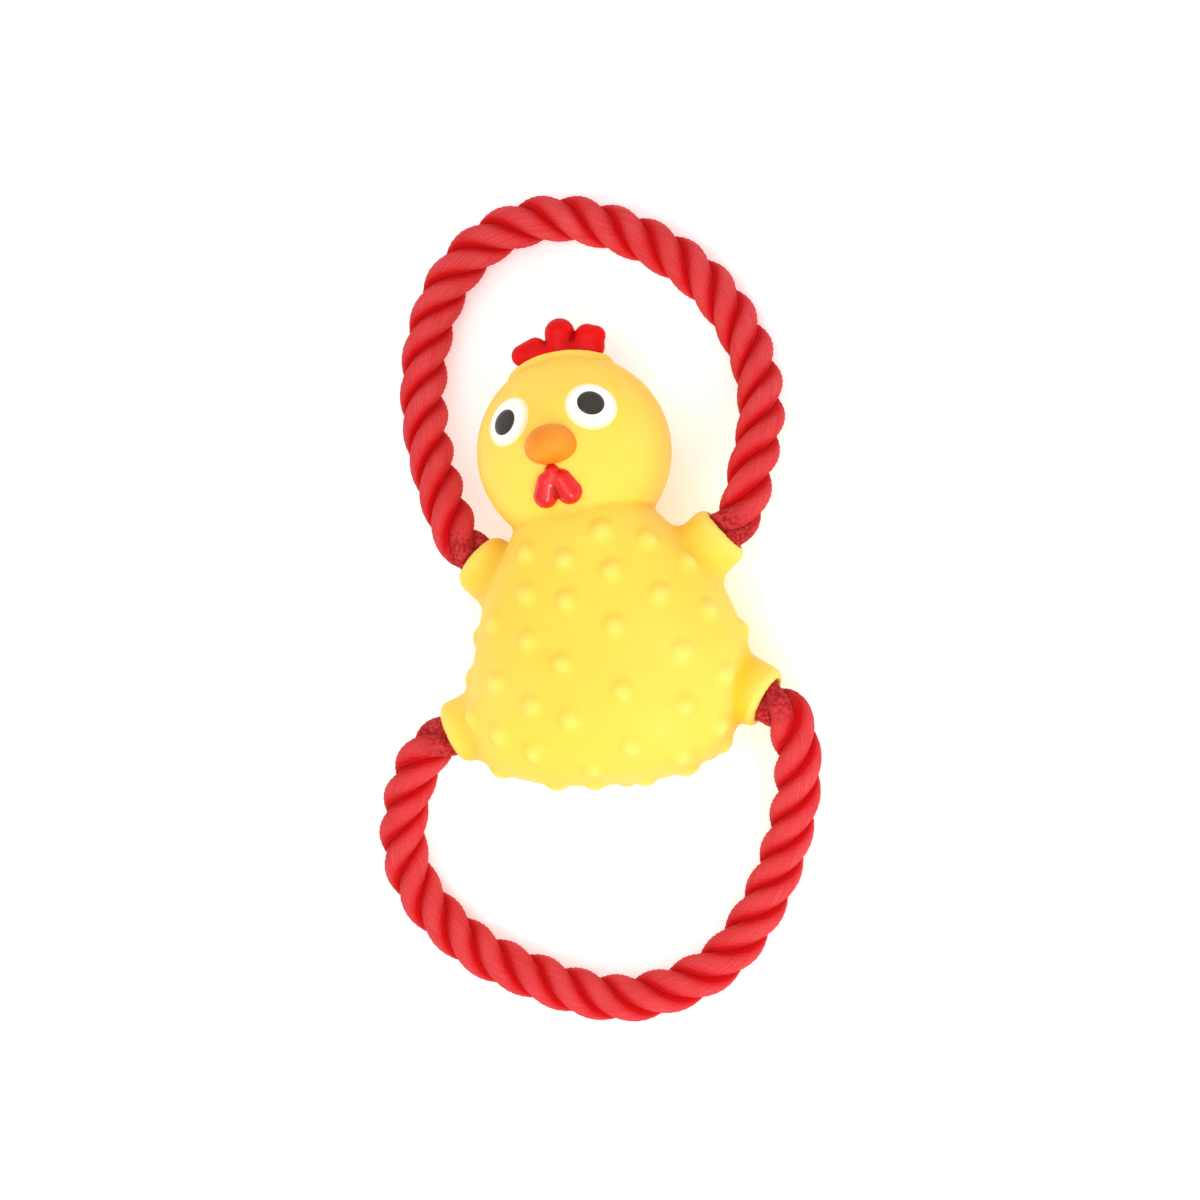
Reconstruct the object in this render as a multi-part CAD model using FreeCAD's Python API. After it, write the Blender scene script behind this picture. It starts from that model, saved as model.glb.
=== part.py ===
import FreeCAD, Part
import math
import os

# A latex chick toy with two twisted rope loops, lying on its back. Millimetres.
# +Z points out of the belly and face, +Y towards the head, +X to the viewer's right.
# The origin is the centre of the flat outer face of the round patch on the back.

V = FreeCAD.Vector
DOWN = V(0, 0, -1)

# Rope
ROPE_R = 8.2
BALL_GAP = 0.3          # between a loop's round end and the sleeve's mouth
SLEEVE_Z = 28.0         # height of all four sleeves and of both swing axes
ARM_Y = 46.0            # swing axis of the upper loop
LEG_Y = -23.0           # swing axis of the lower loop

# Limbs: where the loop pivots (x, y) and the sleeve's direction in the XY plane,
# in degrees from +X
LIMBS = {
    "left_arm": (-52.1, ARM_Y, 134.6),
    "right_arm": (48.7, ARM_Y, 37.6),
    "left_leg": (-67.1, LEG_Y, 199.0),
    "right_leg": (59.4, LEG_Y, -33.4),
}

# Sleeves and glue
SLEEVE_LIP_R = 10.2
SLEEVE_ROOT_R = 11.0
SLEEVE_LENGTH = 24.0
SLEEVE_BORE_R = 8.9
BORE_PAST = (6.0, 2.0)  # how far the bore runs on past the sleeve's root and past its mouth
GLUE_R = (8.25, 8.85)
GLUE_INSET = 1.0
GLUE_LENGTH = 9.0

# Skin
WALL = 1.6
SOFT_GAP = 0.35         # between the stuffing and everything round it

# Torso outline as level ovals: y, centre x, half width, centre z, half depth
TORSO = [
    (-42.2, -1.5, 9.0, 31.7, 4.6),
    (-41.2, -2.0, 19.5, 31.7, 10.0),
    (-38.3, -3.0, 30.5, 31.8, 16.5),
    (-33.0, -4.2, 40.5, 31.9, 23.0),
    (-24.0, -4.0, 47.0, 31.9, 28.3),
    (-12.0, -1.8, 49.0, 31.9, 30.7),
    (0.0, -0.5, 48.0, 31.9, 31.0),
    (12.0, -0.7, 44.8, 31.9, 30.8),
    (22.0, -1.4, 41.5, 32.1, 30.0),
    (32.0, -2.2, 36.5, 32.6, 28.4),
    (41.0, -3.7, 30.5, 33.3, 26.7),
]
FLOOR_Y = -30.0         # below this y an inset moves the ovals up as well as in
FLOOR_RISE = 12.0

# Head
HEAD_R = 33.2
HEAD_CENTRE = V(-7.6, 71.8, 33.5)
HEAD_TILT = 6.0         # degrees about +Z, towards -X
NECK_DROP = 22.5        # from the head's centre down to the neck plane
NECK_GAP = 0.3
NECK_OVERCUT = 2.0      # how far the torso's hollow runs out through the neck
NECK_R = math.sqrt(HEAD_R**2 - NECK_DROP**2)

# Comb and the raised lip round its base, in the head's own axes: across, up, out
LIP_CENTRE = 1.5
LIP_OUTER = (17.8, 8.8)
LIP_INNER = (16.0, 7.0)
LIP_LOW = 22.0
LIP_TOP = 35.2
COMB_LOBES = [          # low end (across, up, radius), high end (across, up, radius)
    ((-9.0, 34.5, 4.2), (13.0, 34.0, 3.8)),
    ((-12.0, 36.1, 3.9), (-7.2, 37.4, 4.1)),
    ((1.0, 34.0, 4.6), (2.1, 41.1, 5.2)),
    ((8.5, 34.0, 3.8), (11.3, 38.2, 4.3)),
    ((12.0, 33.5, 3.4), (14.4, 37.8, 3.4)),
]

# Face
EYE_LONGITUDE = 28.6
EYE_LATITUDE = 17.9
WHITE_HALF = (9.5, 8.8)
PUPIL_HALF = (4.9, 4.6)
PAINT = 0.8
PAINT_GAP = 0.1
BEAK_LATITUDE = -1.2
BEAK_HALF = (8.6, 6.6, 10.0)
WATTLE_LATITUDE = -24.9
WATTLE_LOBES = [        # high end (across, up, radius), low end (across, up, radius)
    ((-1.4, 4.7, 2.6), (-1.2, 2.0, 3.0)),
    ((-3.9, 1.1, 3.5), (-5.7, -3.4, 4.0)),
    ((1.1, 1.2, 3.5), (2.6, -3.5, 4.2)),
]

# Nubs: points near the torso's surface that each round nub is centred on
NUB_R = 4.65
NUB_DEPTH = 2.35        # the nub sphere's centre below the surface
NUB_PUSH = 3.0          # moves a listed point clear of the surface before it is dropped on it
TORSO_MIDDLE = V(-1.5, -8.0, 31.9)
NUBS = [
    (6, 41, 58), (20, 37, 52), (-21, 36, 55), (-7, 32, 60), (9, 27, 60), (31, 29, 45),
    (-22, 22, 58), (-7, 18, 62), (24, 18, 56), (38, 12, 47), (9, 8, 62), (-22, 6, 59),
    (-10, -3, 62), (30, -2, 55), (10, -14, 61), (-22, -16, 59), (-9, -22, 60), (29, -20, 53),
    (-35, -7, 53), (-36, -24, 52), (10, -32, 53), (-24, -31, 53), (-36, 14, 50), (-5, -36, 47),
    (43, -10, 46), (40, -28, 42), (25, -36, 43), (-46, 12, 34), (-49, -2, 36), (-50, -16, 46),
    (45, 6, 30), (49, -9, 27), (-22, -41, 33), (-8, -42, 35), (9, -42, 32), (24, -40, 30),
    (38, -34, 29), (-41, -34, 33), (-45, 0, 18), (-34, -36, 18), (0, -41, 20), (33, -37, 17),
]

# Patch and squeaker, all round the origin's Z axis
PATCH_R = 12.0
PATCH_GLUE = 0.1        # between the patch and the curved back it is stuck to
PATCH_STOCK = 6.0       # thickness of the disc before the back's curve is cut from it
PATCH_EDGE_R = 0.6
FILL_HOLE_R = 8.5
HOLDER_R = 7.8
HOLDER_Z = (1.8, 4.8)
FLANGE_R = 12.5
FLANGE_TOP = 6.0
REED_BORE_R = 2.0
REED_R = 1.95
REED_Z = (2.6, 9.0)
REED_SLOT = (0.8, 3.5)  # width and depth
BELLOWS_R = (10.6, 13.0)
BELLOWS_WALL = 0.7
BELLOWS_FOLDS = 3
CAP_Z = (15.2, 17.0)
CAP_R = 12.6
CAP_EDGE_R = 0.9
SQUEAKER_ROOM_R = 13.6
SQUEAKER_ROOM_TOP = 17.6

# Rope inside the body: how far each end runs straight in from its mouth before it
# turns across the body, and the whipping round the middle
ARM_REACH = (31.0, 37.0)
LEG_REACH = (26.5, 27.5)
INNER_ARC_SHARE = 0.35
WHIP_R = 9.4
WHIP_LENGTH = 8.0

# Free loops: corner points of the rope's centreline from one pivot to the other
ARC_SHARE = 0.45
UPPER_ROUTE = [
    (51.5, 60.5, 25.0), (55.5, 77.0, 19.0), (54.0, 95.5, 12.5), (48.0, 112.0, 9.2),
    (39.0, 127.0, 8.3), (25.5, 140.0, 8.3), (6.5, 151.0, 8.3), (-16.0, 158.0, 8.3),
    (-38.5, 153.0, 8.3), (-54.5, 139.0, 8.3), (-63.0, 120.0, 8.6), (-65.5, 101.0, 11.0),
    (-63.5, 82.5, 16.5), (-58.5, 64.5, 22.5),
]
LOWER_ROUTE = [
    (-74.0, -32.0, 24.8), (-80.0, -43.5, 19.2), (-83.0, -58.0, 13.2), (-79.0, -72.5, 9.2),
    (-69.0, -85.0, 8.3), (-57.0, -95.5, 8.3), (-42.0, -103.0, 8.3), (-26.0, -110.5, 8.3),
    (-8.5, -114.5, 8.3), (9.0, -112.0, 8.3), (26.0, -104.5, 8.3), (37.5, -91.5, 8.3),
    (46.5, -77.0, 9.2), (53.5, -62.0, 12.8), (58.5, -47.5, 18.0), (60.5, -35.0, 23.5),
]


def save(node, shape):
    shape.exportStep(os.path.join("parts", node + ".step"))


def pivot(limb):
    x, y, _ = LIMBS[limb]
    return V(x, y, SLEEVE_Z)


def outward(limb):
    angle = math.radians(LIMBS[limb][2])
    return V(math.cos(angle), math.sin(angle), 0)


def mouth(limb):
    return pivot(limb) - outward(limb) * (ROPE_R + BALL_GAP)


def oval(centre, across, depth, half_width, half_depth):
    """A closed wire: an ellipse with its long axis along across."""
    long_end = centre + across * half_width
    short_end = centre + depth * half_depth
    return Part.Wire(Part.Ellipse(long_end, short_end, centre).toShape())


def lobe(first, second):
    """A teardrop between two round ends, each given as across, up, radius."""
    start, end = V(*first[:2], 0), V(*second[:2], 0)
    r1, r2 = first[2], second[2]
    along = end - start
    lean = math.asin((r1 - r2) / along.Length)
    side, rise = math.cos(lean), math.sin(lean)
    top = along.Length
    middle_1 = V(r1 * math.cos(lean / 2 - math.pi / 4), r1 * math.sin(lean / 2 - math.pi / 4), 0)
    middle_2 = V(r2 * math.cos(lean / 2 + math.pi / 4), top + r2 * math.sin(lean / 2 + math.pi / 4), 0)
    shoulder_1 = V(r1 * side, r1 * rise, 0)
    shoulder_2 = V(r2 * side, top + r2 * rise, 0)
    pole_1, pole_2 = V(0, -r1, 0), V(0, top + r2, 0)
    outline = Part.Wire([
        Part.Arc(pole_1, middle_1, shoulder_1).toShape(),
        Part.makeLine(shoulder_1, shoulder_2),
        Part.Arc(shoulder_2, middle_2, pole_2).toShape(),
        Part.makeLine(pole_2, pole_1),
    ])
    drop = Part.Face(outline).revolve(V(0, 0, 0), V(0, 1, 0), 360)
    place = FreeCAD.Placement(start, FreeCAD.Rotation(V(0, 1, 0), along))
    return drop.transformed(place.toMatrix(), True)


def joined(shapes):
    return shapes[0].fuse(shapes[1:]).removeSplitter()


# Head placement
HEAD = FreeCAD.Placement(HEAD_CENTRE, FreeCAD.Rotation(V(0, 0, 1), HEAD_TILT))
HEAD_UP = HEAD.Rotation.multVec(V(0, 1, 0))
HEAD_RIGHT = HEAD.Rotation.multVec(V(1, 0, 0))
NECK = HEAD_CENTRE - HEAD_UP * NECK_DROP


def on_head(shape):
    """Moves a shape from the head's own axes (across, up, out) to its place."""
    return shape.transformed(HEAD.toMatrix(), True)


def on_face(shape, longitude, latitude):
    """Stands a shape, built round the origin with +Z outward, on the head's surface."""
    turn = FreeCAD.Rotation(V(0, 1, 0), longitude) * FreeCAD.Rotation(V(1, 0, 0), -latitude)
    seat = FreeCAD.Placement(turn.multVec(V(0, 0, HEAD_R)), turn)
    return shape.transformed(seat.toMatrix(), True)


# Torso -----------------------------------------------------------------------
def torso_form(inset, past_neck=0.0):
    """The torso's closed form, smaller by inset, up to the neck plane or a bit past it."""
    wires = []
    for y, cx, half_width, cz, half_depth in TORSO:
        lifted = y + inset * max(0.0, (FLOOR_Y - y) / FLOOR_RISE)
        centre = V(cx, lifted, cz)
        wires.append(oval(centre, V(1, 0, 0), DOWN, half_width - inset, half_depth - inset))
    top = NECK + HEAD_UP * (past_neck - NECK_GAP / 2)
    radius = NECK_R - inset
    wires.append(oval(top, HEAD_RIGHT, DOWN, radius + 0.02, radius))
    return Part.makeLoft(wires, True, False)


def nub(form, near):
    """A sphere set into the form's surface, at the surface point nearest to a point."""
    outside = (V(*near) - TORSO_MIDDLE).normalize() * NUB_PUSH
    far = V(*near) + outside
    foot = form.Shells[0].distToShape(Part.Vertex(far))[1][0][0]
    normal = (far - foot).normalize()
    return Part.makeSphere(NUB_R, foot - normal * NUB_DEPTH)


def sleeve(limb):
    root = mouth(limb) - outward(limb) * SLEEVE_LENGTH
    return Part.makeCone(SLEEVE_ROOT_R, SLEEVE_LIP_R, SLEEVE_LENGTH, root, outward(limb))


def sleeve_bore(limb):
    root = mouth(limb) - outward(limb) * (SLEEVE_LENGTH + BORE_PAST[0])
    return Part.makeCylinder(SLEEVE_BORE_R, SLEEVE_LENGTH + sum(BORE_PAST), root, outward(limb))


def make_torso_skin():
    form = torso_form(0.0)
    nubs = [nub(form, near) for near in NUBS]
    solid = form.fuse([sleeve(limb) for limb in LIMBS] + nubs)
    hollow = torso_form(WALL, NECK_OVERCUT)
    openings = [sleeve_bore(limb) for limb in LIMBS]
    openings.append(Part.makeCylinder(FILL_HOLE_R, 12.0, V(0, 0, -2.0)))
    return solid.cut([hollow] + openings)


def make_torso_stuffing():
    form = torso_form(WALL + SOFT_GAP, -SOFT_GAP)
    room = Part.makeCylinder(SQUEAKER_ROOM_R, SQUEAKER_ROOM_TOP + 2.0, V(0, 0, -2.0))
    cuts = [room]
    for ends, reach in INNER_RUNS.values():
        points = inner_points(ends, reach)
        cuts.append(rope_tube(points, ROPE_R + SOFT_GAP, INNER_ARC_SHARE))
        cuts.append(whipping(points, WHIP_R + SOFT_GAP, WHIP_LENGTH + 2 * SOFT_GAP))
        cuts += [glue_room(limb) for limb in ends]
    return form.cut(cuts)


# Head ------------------------------------------------------------------------
def oval_prism(half_width, half_depth, low, high):
    face = Part.Face(oval(V(LIP_CENTRE, low, 0), V(1, 0, 0), DOWN, half_width, half_depth))
    return face.extrude(V(0, high - low, 0))


def above_neck(shape, clearance):
    """Keeps what lies above the neck plane by a clearance, in the head's axes."""
    size = 4 * HEAD_R
    low = V(-size / 2, -NECK_DROP + clearance - size, -size / 2)
    return shape.cut(Part.makeBox(size, size, size, low))


def make_head_skin():
    ball = Part.makeSphere(HEAD_R)
    lip = oval_prism(*LIP_OUTER, LIP_LOW, LIP_TOP).cut(oval_prism(*LIP_INNER, LIP_LOW - 1, LIP_TOP + 1))
    shell = ball.fuse(lip).cut(Part.makeSphere(HEAD_R - WALL))
    return on_head(above_neck(shell, NECK_GAP / 2))


def make_head_stuffing():
    ball = Part.makeSphere(HEAD_R - WALL - SOFT_GAP)
    return on_head(above_neck(ball, NECK_GAP / 2 + SOFT_GAP))


def make_comb():
    lobes = [lobe(low, high) for low, high in COMB_LOBES]
    lip = oval_prism(*LIP_OUTER, LIP_LOW, LIP_TOP + PAINT_GAP)
    lip = lip.cut(oval_prism(LIP_INNER[0] - PAINT_GAP, LIP_INNER[1] - PAINT_GAP, LIP_LOW - 1, LIP_TOP + 1))
    comb = joined(lobes).cut([Part.makeSphere(HEAD_R + PAINT_GAP), lip])
    return on_head(comb)


def make_beak():
    stretch = FreeCAD.Matrix()
    stretch.scale(*BEAK_HALF)
    form = on_face(Part.makeSphere(1.0).transformGeometry(stretch), 0, BEAK_LATITUDE)
    return on_head(form.cut(Part.makeSphere(HEAD_R + PAINT_GAP)))


def make_wattle():
    lobes = [lobe(high, low) for high, low in WATTLE_LOBES]
    wattle = on_face(joined(lobes), 0, WATTLE_LATITUDE)
    return on_head(wattle.cut(Part.makeSphere(HEAD_R + PAINT_GAP)))


def painted_oval(side, half, low, high):
    """An oval of paint on the head between two spheres."""
    face = Part.Face(oval(V(0, 0, -HEAD_R / 2), V(1, 0, 0), V(0, 1, 0), *half))
    prism = on_face(face.extrude(V(0, 0, HEAD_R)), side * EYE_LONGITUDE, EYE_LATITUDE)
    layer = Part.makeSphere(HEAD_R + high).cut(Part.makeSphere(HEAD_R + low))
    return on_head(layer.common(prism))


# Rope ------------------------------------------------------------------------
def rounded_path(points, share):
    """Straight runs joined by tangent arcs, each as large as its two runs allow."""
    edges, radii = [], []
    start = points[0]
    for before, corner, after in zip(points, points[1:], points[2:]):
        run_in, run_out = corner - before, after - corner
        reach = share * min(run_in.Length, run_out.Length)
        to_before = (before - corner).normalize()
        to_after = (after - corner).normalize()
        half_turn = (math.pi - to_before.getAngle(to_after)) / 2
        radius = reach / math.tan(half_turn)
        radii.append(radius)
        arc_start = corner + to_before * reach
        arc_end = corner + to_after * reach
        inward = (to_before + to_after).normalize()
        middle = corner + inward * (radius / math.cos(half_turn) - radius)
        edges.append(Part.LineSegment(start, arc_start).toShape())
        edges.append(Part.Arc(arc_start, middle, arc_end).toShape())
        start = arc_end
    edges.append(Part.LineSegment(start, points[-1]).toShape())
    return Part.Wire(edges), radii


def rope_tube(points, radius, share):
    path, _ = rounded_path(points, share)
    circle = Part.Wire(Part.Circle(points[0], points[1] - points[0], radius).toShape())
    return path.makePipeShell([circle], True, False)


def loop_points(first, route, last):
    return [pivot(first)] + [V(*point) for point in route] + [pivot(last)]


def make_loop(name, first, route, last):
    points = loop_points(first, route, last)
    path, radii = rounded_path(points, ARC_SHARE)
    tube = rope_tube(points, ROPE_R, ARC_SHARE)
    expected = math.pi * ROPE_R**2 * path.Length
    print(name, "length", round(path.Length, 1), "volume over section x length",
          round(tube.Volume / expected, 4), "arc radii", [round(r) for r in radii])
    ends = [Part.makeSphere(ROPE_R, end) for end in (points[0], points[-1])]
    return tube.fuse(ends)


def inner_points(ends, reach):
    corners = [mouth(limb) - outward(limb) * run for limb, run in zip(ends, reach)]
    return [mouth(ends[0]), corners[0], corners[1], mouth(ends[1])]


def whipping(points, radius, length):
    """A plain round band at the middle of the straight run across the body."""
    _, a, b, _ = points
    along = (b - a).normalize()
    return Part.makeCylinder(radius, length, (a + b) / 2 - along * (length / 2), along)


def make_inner_rope(points):
    return rope_tube(points, ROPE_R, INNER_ARC_SHARE)


def make_whipping(points):
    band = whipping(points, WHIP_R, WHIP_LENGTH)
    return band.cut(whipping(points, ROPE_R, WHIP_LENGTH + 2))


def glue_room(limb):
    root = mouth(limb) - outward(limb) * (GLUE_INSET + GLUE_LENGTH + SOFT_GAP)
    return Part.makeCylinder(GLUE_R[1] + SOFT_GAP, SLEEVE_LENGTH, root, outward(limb))


def make_glue(limb):
    inner, outer = GLUE_R
    root = mouth(limb) - outward(limb) * (GLUE_INSET + GLUE_LENGTH)
    tube = Part.makeCylinder(outer, GLUE_LENGTH, root, outward(limb))
    return tube.cut(Part.makeCylinder(inner, GLUE_LENGTH + 2, root - outward(limb), outward(limb)))


INNER_RUNS = {
    "arm": (("left_arm", "right_arm"), ARM_REACH),
    "leg": (("left_leg", "right_leg"), LEG_REACH),
}


# Patch and squeaker ----------------------------------------------------------
def make_back_patch():
    """Flat outside, and curved to the torso's back inside."""
    disc = Part.makeCylinder(PATCH_R, PATCH_STOCK)
    rim = [edge for edge in disc.Edges if edge.Length > PATCH_R and edge.BoundBox.ZMax < PATCH_EDGE_R]
    return disc.makeFillet(PATCH_EDGE_R, rim).cut(torso_form(-PATCH_GLUE))


def make_reed_holder():
    low, high = HOLDER_Z
    plug = Part.makeCylinder(HOLDER_R, high - low, V(0, 0, low))
    flange = Part.makeCylinder(FLANGE_R, FLANGE_TOP - high, V(0, 0, high))
    return plug.fuse(flange).cut(Part.makeCylinder(REED_BORE_R, 20.0, V(0, 0, -5.0)))


def make_reed():
    low, high = REED_Z
    barrel = Part.makeCylinder(REED_R, high - low, V(0, 0, low))
    width, depth = REED_SLOT
    slot = Part.makeBox(3 * REED_R, width, 2 * depth, V(-1.5 * REED_R, -width / 2, high - depth))
    return barrel.cut(slot)


def make_bellows():
    """A folded tube between the flange and the cap, revolved from a zigzag wall."""
    small, large = BELLOWS_R
    low, high = FLANGE_TOP, CAP_Z[0]
    step = (high - low) / (2 * BELLOWS_FOLDS)
    outer = []
    for i in range(2 * BELLOWS_FOLDS + 1):
        radius = large if i % 2 == 0 else small
        outer.append(V(radius, 0, low + i * step))
    inner = [V(point.x - BELLOWS_WALL, 0, point.z) for point in reversed(outer)]
    section = Part.Face(Part.makePolygon(outer + inner + outer[:1]))
    return section.revolve(V(0, 0, 0), V(0, 0, 1), 360)


def make_end_cap():
    low, high = CAP_Z
    disc = Part.makeCylinder(CAP_R, high - low, V(0, 0, low))
    rim = [edge for edge in disc.Edges if edge.BoundBox.ZMin > high - 0.1]
    return disc.makeFillet(CAP_EDGE_R, rim)


def main():
    os.makedirs("parts", exist_ok=True)
    save("torso_skin", make_torso_skin())
    save("torso_stuffing", make_torso_stuffing())
    save("head_skin", make_head_skin())
    save("head_stuffing", make_head_stuffing())
    save("comb", make_comb())
    save("beak", make_beak())
    save("wattle", make_wattle())
    for side, name in ((-1, "left"), (1, "right")):
        save(name + "_eye_white", painted_oval(side, WHITE_HALF, PAINT_GAP, PAINT))
        save(name + "_pupil", painted_oval(side, PUPIL_HALF, PAINT + PAINT_GAP, 2 * PAINT))
    save("upper_rope_loop", make_loop("upper", "right_arm", UPPER_ROUTE, "left_arm"))
    save("lower_rope_loop", make_loop("lower", "left_leg", LOWER_ROUTE, "right_leg"))
    for name, (ends, reach) in INNER_RUNS.items():
        points = inner_points(ends, reach)
        save(name + "_rope_inner", make_inner_rope(points))
        save(name + "_rope_whipping", make_whipping(points))
    for limb in LIMBS:
        save(limb + "_glue", make_glue(limb))
    save("back_patch", make_back_patch())
    save("squeaker_reed_holder", make_reed_holder())
    save("squeaker_reed", make_reed())
    save("squeaker_bellows", make_bellows())
    save("squeaker_end_cap", make_end_cap())


main()
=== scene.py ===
import math

import bpy
import numpy as np
from mathutils import Matrix, Vector


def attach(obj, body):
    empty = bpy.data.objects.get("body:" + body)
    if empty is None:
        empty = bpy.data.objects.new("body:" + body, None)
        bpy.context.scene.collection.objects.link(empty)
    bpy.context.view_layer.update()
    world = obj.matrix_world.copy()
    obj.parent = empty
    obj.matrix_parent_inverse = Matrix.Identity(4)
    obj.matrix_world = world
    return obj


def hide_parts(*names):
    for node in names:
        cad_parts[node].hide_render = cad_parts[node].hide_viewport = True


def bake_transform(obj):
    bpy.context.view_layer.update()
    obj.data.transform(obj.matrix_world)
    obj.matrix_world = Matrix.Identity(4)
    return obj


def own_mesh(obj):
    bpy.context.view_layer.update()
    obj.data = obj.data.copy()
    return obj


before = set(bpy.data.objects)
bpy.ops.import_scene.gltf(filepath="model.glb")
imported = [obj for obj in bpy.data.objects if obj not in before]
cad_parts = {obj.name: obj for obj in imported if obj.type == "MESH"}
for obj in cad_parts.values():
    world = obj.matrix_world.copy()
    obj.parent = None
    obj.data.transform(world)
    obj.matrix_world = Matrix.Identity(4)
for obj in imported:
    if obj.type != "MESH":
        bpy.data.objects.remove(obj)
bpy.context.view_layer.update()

# All lengths are in metres. MM turns a short list written in millimetres into metres.
MM = 0.001

# Camera: above the toy, a little towards +X and towards its tail, and rolled.
CAMERA_SIDE = math.radians(13.7)    # off the vertical, towards +X
CAMERA_TAIL = math.radians(6.0)     # off the vertical, towards -Y
CAMERA_ROLL = math.radians(4.0)
CAMERA_DISTANCE = 3.0
VIEW_WIDTH = 0.408
SENSOR_WIDTH = 36.0
AIM = (-0.003, 0.02066, 0.030)      # along the view's right, along its up, height

# Rope: three strands with a right-handed lay.
ROPE_R = 0.0082
LAY = 0.041
STRANDS = 3
STRAND_SHIFT = 7.0                  # sets the strands' colour patterns apart
STRAND_R = 0.0040
STRAND_OFFSET = 0.0042
YARNS = 13
YARN_TWIST = 2.15                   # turns of the yarns back, for each turn of the strands
YARN_DEPTH = 0.00009
ROPE_STEP = 0.0011
ROPE_SIDES = 52
MOUTH_SQUEEZE = 0.07                # how much thinner the rope is in a sleeve
SQUEEZE_REACH = 0.006               # how far from the mouth it takes to swell again
GLUE_FULL = 0.0045                  # the glue is full up to here from the mouth,
GLUE_FADE = 0.00525                 # and gone this much further on
GROOVE_FLOOR = 0.0045               # distance from the rope's axis where its grooves are deepest, and their painted shade is full
TUCK = 0.009                        # how far a loop's mesh runs on inside its sleeve
TUCK_GAP = 0.001                    # from there to the end of the inner run's mesh
NO_MOUTH = -1.0                     # puts the mouths far beyond a rope's ends

# Limbs: pivot x, pivot y, direction of the sleeve in degrees from +X.
SLEEVE_Z = 0.028
LIMBS = {
    "left_arm": (-0.0521, 0.046, 134.6),
    "right_arm": (0.0487, 0.046, 37.6),
    "left_leg": (-0.0671, -0.023, 199.0),
    "right_leg": (0.0594, -0.023, -33.4),
}
MOUTH_BACK = 0.0085                 # from a pivot in to the mouth of its sleeve
SLEEVE_R = 0.0109
SLEEVE_TAPER = 0.0003
SLEEVE_LENGTH = 0.024
SLEEVE_ROUND = {"left_arm": 0.0047, "right_arm": 0.0038, "left_leg": 0.0036, "right_leg": 0.0026}
SLEEVE_BLEND = {"left_arm": 0.0045, "right_arm": 0.0050, "left_leg": 0.0055, "right_leg": 0.0022}
FOLD_SHADE = {"left_arm": 0.7, "right_arm": 0.6, "left_leg": 0.4, "right_leg": 1.0}
FOLD_REACH = 0.0036                 # how far the painted shade spreads from the crease at a sleeve's root
BORE_R = 0.0079
BORE_DEPTH = 0.011
BORE_BLEND = 0.0008

# The two loops, from pivot to pivot.
UPPER_ROUTE = [
    (51.5, 60.5, 25), (55.5, 77, 19), (54, 95.5, 12.5), (48, 112, 9.2), (39, 127, 8.3),
    (25.5, 140, 8.3), (6.5, 151, 8.3), (-16, 158, 8.3), (-38.5, 153, 8.3), (-54.5, 139, 8.3),
    (-63, 120, 8.6), (-65.5, 101, 11), (-63.5, 82.5, 16.5), (-58.5, 64.5, 22.5),
]
LOWER_ROUTE = [
    (-74, -32, 24.8), (-80, -43.5, 19.2), (-83, -58, 13.2), (-79, -72.5, 9.2), (-69, -85, 8.3),
    (-57, -95.5, 8.3), (-42, -103, 8.3), (-26, -110.5, 8.3), (-8.5, -114.5, 8.3), (9, -112, 8.3),
    (26, -104.5, 8.3), (37.5, -91.5, 8.3), (46.5, -77, 9.2), (53.5, -62, 12.8), (58.5, -47.5, 18),
    (60.5, -35, 23.5),
]
LOOP_START = {"upper_rope_loop": 0.4, "lower_rope_loop": 0.0}    # angle of the first strand, in radians
ARM_REACH = (0.031, 0.037)          # how far the inner run goes in along each sleeve's axis
LEG_REACH = (0.0265, 0.0275)

# Torso: ovals across Y (y, centre x, half width, centre z, half depth).
TORSO = [
    (-42.2, -1.5, 9, 31.7, 4.6), (-41.2, -2, 19.5, 31.7, 10), (-38.3, -3, 30.5, 31.8, 16.5),
    (-33, -4.2, 40.5, 31.9, 23), (-24, -4, 47, 31.9, 28.3), (-12, -1.8, 49, 31.9, 30.7),
    (0, -0.5, 48, 31.9, 31), (12, -0.7, 44.8, 31.9, 30.8), (22, -1.4, 41.5, 32.1, 30),
    (32, -2.2, 36.5, 32.6, 28.4), (41, -3.1, 29.7, 33.3, 26.7), (49.4, -4.6, 23.6, 33.5, 24),
    (56, -6, 18, 33.5, 18), (60, -6.4, 9, 33.5, 9),
]
SHAPE_RANGE = (0.8, 4.5)            # bounds for an oval's width over its depth, squared
NUBS = [                            # points near the surface, which are then moved onto it
    (6, 41, 58), (20, 37, 52), (-21, 36, 55), (-7, 32, 60), (9, 27, 60), (31, 29, 45),
    (-22, 22, 58), (-7, 18, 62), (24, 18, 56), (38, 12, 47), (9, 8, 62), (-22, 6, 59),
    (-10, -3, 62), (30, -2, 55), (10, -14, 61), (-22, -16, 59), (-9, -22, 60), (29, -20, 53),
    (-35, -7, 53), (-36, -24, 52), (10, -32, 53), (-24, -31, 53), (-36, 14, 50), (-5, -36, 47),
    (43, -10, 46), (40, -28, 42), (25, -36, 43), (-46, 12, 34), (-49, -2, 36), (-50, -16, 46),
    (45, 6, 30), (49, -9, 27), (-22, -41, 33), (-8, -42, 35), (9, -42, 32), (24, -40, 30),
    (38, -34, 29), (-41, -34, 33), (-45, 0, 18), (-34, -36, 18), (0, -41, 20), (33, -37, 17),
]
NUB_R = 0.0043
NUB_SINK = 0.0023                   # the nub sphere's centre below the surface
NUB_BLEND = 0.0018
NUB_REACH = 2.2                     # in nub radii: how near its centre a nub is worked out

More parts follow.
